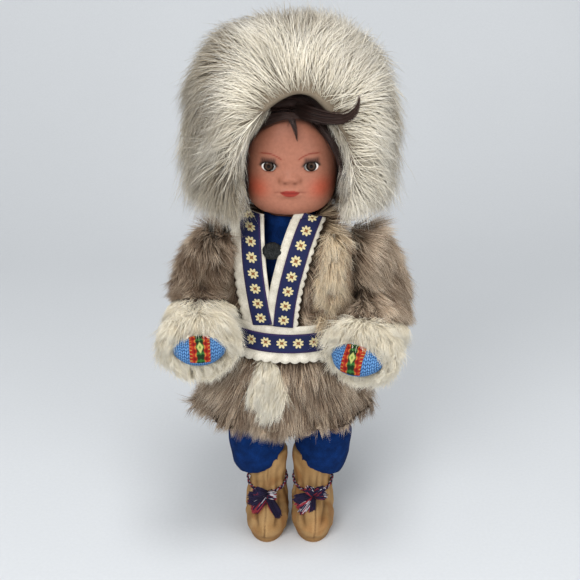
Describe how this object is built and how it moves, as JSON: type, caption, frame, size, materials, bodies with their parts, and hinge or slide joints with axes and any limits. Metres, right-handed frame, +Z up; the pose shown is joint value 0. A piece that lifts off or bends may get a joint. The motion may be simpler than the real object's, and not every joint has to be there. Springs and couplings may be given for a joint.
{
  "type": "dressed doll",
  "caption": "Vinyl play doll with sleeping eyes and plug-in head, arms and legs, dressed in a fur hood, fur coat, felt trousers, knitted mittens and hide boots.",
  "frame": {"origin": "on the floor, under the middle of the doll's outline", "axes": "+Z up, the doll faces -Y, its own left is at +X"},
  "size_m": [0.1368, 0.1156, 0.299],
  "materials": {
    "face_vinyl": "satin vinyl with painted face",
    "body_vinyl": "satin vinyl",
    "eye_gloss": "glossy acrylic with brown iris",
    "steel": "plain wire",
    "lead": "cast weight",
    "nylon_hair": "rooted dark brown fibre",
    "pale_fur": "long cream fur with grey-brown roots",
    "grey_fur": "short grey-brown fur",
    "tan_fur": "long tan fur",
    "white_fur": "long creamy fur",
    "cream_felt": "wool felt with pinked edges",
    "navy_braid": "woven ribbon with yellow flowers",
    "blue_felt": "wool felt",
    "blue_knit": "fine knit",
    "band_weave": "woven band with a coloured pattern",
    "black_knot": "knotted texture",
    "tan_hide": "soft suede hide",
    "yarn": "wool yarn in navy, red and white"
  },
  "bodies": {
    "torso": {"torso_shell": "body_vinyl", "shirt": "blue_felt", "trouser_seat": "blue_felt", "coat_bodice": "grey_fur", "coat_skirt": "grey_fur", "skirt_inset": "white_fur", "left_lapel_felt": "cream_felt", "left_lapel_braid": "navy_braid", "right_lapel_felt": "cream_felt", "right_lapel_braid": "navy_braid", "belt_felt": "cream_felt", "belt_braid": "navy_braid", "front_facing": "tan_fur", "neck_button": "black_knot"},
    "head": {"head_shell": "face_vinyl", "hair_cap": "nylon_hair", "forelock": "nylon_hair", "hood_ruff": "pale_fur", "hood_crown": "pale_fur", "eye_cradle": "body_vinyl"},
    "eyes": {"left_eye": "eye_gloss", "right_eye": "eye_gloss", "eye_bar": "steel", "eye_weight": "lead"},
    "left_arm": {"left_arm": "body_vinyl", "left_sleeve": "grey_fur", "left_cuff": "white_fur", "left_mitten": "blue_knit", "left_mitten_band": "band_weave"},
    "right_arm": {"right_arm": "body_vinyl", "right_sleeve": "grey_fur", "right_cuff": "white_fur", "right_mitten": "blue_knit", "right_mitten_band": "band_weave"},
    "left_leg": {"left_leg": "body_vinyl", "left_trouser_leg": "blue_felt", "left_boot": "tan_hide", "left_boot_sole": "tan_hide", "left_boot_tie": "yarn", "left_tassel": "yarn"},
    "right_leg": {"right_leg": "body_vinyl", "right_trouser_leg": "blue_felt", "right_boot": "tan_hide", "right_boot_sole": "tan_hide", "right_boot_tie": "yarn", "right_tassel": "yarn"}
  },
  "joints": [
    {"name": "head_turn", "type": "hinge", "parent": "torso", "child": "head", "pos_m": [0, 0, 0.194], "axis": [0, 0, 1], "range_deg": [-90, 90]},
    {"name": "eye_close", "type": "hinge", "parent": "head", "child": "eyes", "pos_m": [0, -0.0165, 0.227], "axis": [1, 0, 0], "range_deg": [0, 60]},
    {"name": "left_shoulder", "type": "hinge", "parent": "torso", "child": "left_arm", "pos_m": [0.03, 0, 0.172], "axis": [-1, 0, 0], "range_deg": [0, 40]},
    {"name": "right_shoulder", "type": "hinge", "parent": "torso", "child": "right_arm", "pos_m": [-0.03, 0, 0.172], "axis": [-1, 0, 0], "range_deg": [0, 40]},
    {"name": "left_hip", "type": "hinge", "parent": "torso", "child": "left_leg", "pos_m": [0.0195, 0, 0.112], "axis": [-1, 0, 0], "range_deg": [-20, 20]},
    {"name": "right_hip", "type": "hinge", "parent": "torso", "child": "right_leg", "pos_m": [-0.0195, 0, 0.112], "axis": [-1, 0, 0], "range_deg": [-20, 20]}
  ]
}
